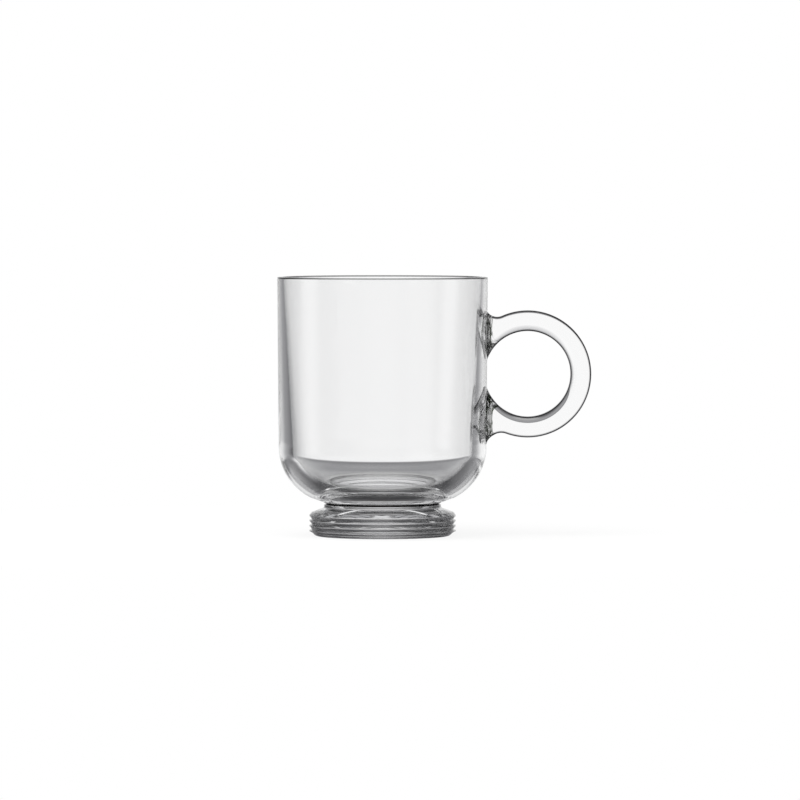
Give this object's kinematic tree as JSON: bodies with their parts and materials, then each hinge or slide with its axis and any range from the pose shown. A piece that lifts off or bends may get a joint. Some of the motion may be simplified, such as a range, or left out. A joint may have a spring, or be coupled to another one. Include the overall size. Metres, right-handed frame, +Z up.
{
  "type": "cappuccino cup",
  "caption": "Clear glass cappuccino cup: straight-sided bowl with a rounded thick base on a ribbed round foot, and a flat-sided ring handle.",
  "frame": {"origin": "on the bowl's axis, in the plane that the foot rests on", "axes": "+Z up along the bowl's axis, +X out through the middle of the handle, Y across the handle"},
  "size_m": [0.1102, 0.074, 0.091],
  "materials": {
    "clear_glass": "fire-polished pressed glass"
  },
  "bodies": {
    "root": {"bowl": "clear_glass", "foot": "clear_glass", "handle": "clear_glass", "upper_handle_pad": "clear_glass", "lower_handle_pad": "clear_glass"}
  },
  "joints": []
}
